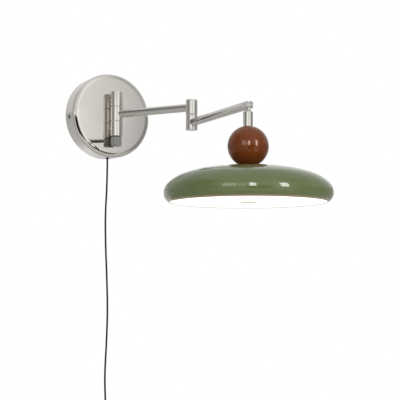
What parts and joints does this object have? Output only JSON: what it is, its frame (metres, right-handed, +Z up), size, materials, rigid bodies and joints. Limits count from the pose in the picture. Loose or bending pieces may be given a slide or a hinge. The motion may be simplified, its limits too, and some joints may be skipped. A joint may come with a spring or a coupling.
{
  "type": "swing-arm wall lamp",
  "caption": "Plug-in wall lamp: round polished canopy, hinged two-part arm, wooden ball above a flat dome shade with a lit diffuser that tilts on a fork.",
  "frame": {"origin": "middle of the wall bracket's back face, on the wall", "axes": "+Y into the wall, +Z up, +X to the right along the wall"},
  "size_m": [0.215, 0.4003, 0.5889],
  "materials": {
    "polished_nickel": "mirror-polished nickel plate",
    "steel": "plain turned steel",
    "dark_steel": "blackened steel",
    "nylon": "grey nylon",
    "black_rubber": "black soft plastic",
    "cord_black": "black cord sheath",
    "tie_grey": "soft tie",
    "black_plastic": "black moulded plastic",
    "pin_metal": "nickel-plated brass",
    "knob_metal": "finely knurled metal",
    "brown_lacquer": "turned wood under clear brown gloss lacquer",
    "sage_paint": "glossy sage green paint",
    "aluminium": "plain sheet",
    "board_white": "white lacquered board",
    "opal_white": "opal white, lit from inside",
    "cap_brass": "satin brass"
  },
  "bodies": {
    "wall_base": {"wall_bracket": "steel", "canopy": "polished_nickel", "canopy_screw_left": "dark_steel", "canopy_screw_right": "dark_steel", "terminal_block": "nylon", "cord_grommet": "black_rubber", "supply_lead": "cord_black", "upper_post": "polished_nickel", "upper_post_washer": "steel", "upper_post_nut": "steel", "lower_post": "polished_nickel", "lower_post_washer": "steel", "lower_post_nut": "steel", "upper_knuckle": "polished_nickel", "lower_knuckle": "polished_nickel", "hinge_pin": "steel", "upper_hinge_washer": "nylon", "lower_hinge_washer": "nylon", "switch_body": "black_plastic", "power_cord": "cord_black", "cord_coil": "cord_black", "cord_tie": "tie_grey", "plug_strain_relief": "black_rubber", "plug_body": "black_plastic", "plug_pin_left": "pin_metal", "plug_pin_right": "pin_metal"},
    "knob": {"switch_shaft": "steel", "switch_knob": "knob_metal"},
    "first_arm": {"arm1_hub": "polished_nickel", "arm1_tube": "polished_nickel", "elbow_upper": "polished_nickel", "elbow_pin": "steel", "elbow_washer": "nylon", "elbow_nut": "steel"},
    "second_arm": {"elbow_lower": "polished_nickel", "elbow_cap": "polished_nickel", "arm2_tube": "polished_nickel", "tilt_fork": "polished_nickel", "tilt_pin": "polished_nickel"},
    "lamp_head": {"stem_tongue": "polished_nickel", "stem_tube": "polished_nickel", "ball": "brown_lacquer", "lamp_pipe": "steel", "shade": "sage_paint", "shade_washer": "steel", "shade_nut": "steel", "tray_spacer": "steel", "led_tray": "aluminium", "led_board": "board_white", "tray_nut": "steel", "diffuser_spacer": "steel", "diffuser": "opal_white", "diffuser_cap": "cap_brass"}
  },
  "joints": [
    {"name": "knob_turn", "type": "hinge", "parent": "wall_base", "child": "knob", "pos_m": [0, -0.0413, -0.039], "axis": [0, 0, -1], "range_deg": [-140, 140]},
    {"name": "wall_swing", "type": "hinge", "parent": "wall_base", "child": "first_arm", "pos_m": [0, -0.0413, 0], "axis": [0, 0, -1], "range_deg": [-20, 46]},
    {"name": "elbow_swing", "type": "hinge", "parent": "first_arm", "child": "second_arm", "pos_m": [0.06247, -0.14446, -0.01085], "axis": [0, 0, -1], "range_deg": [-66, 42]},
    {"name": "shade_tilt", "type": "hinge", "parent": "second_arm", "child": "lamp_head", "pos_m": [0.05149, -0.29766, -0.0211], "axis": [-0.9974, 0.0715, 0], "range_deg": [-12, 85]}
  ]
}
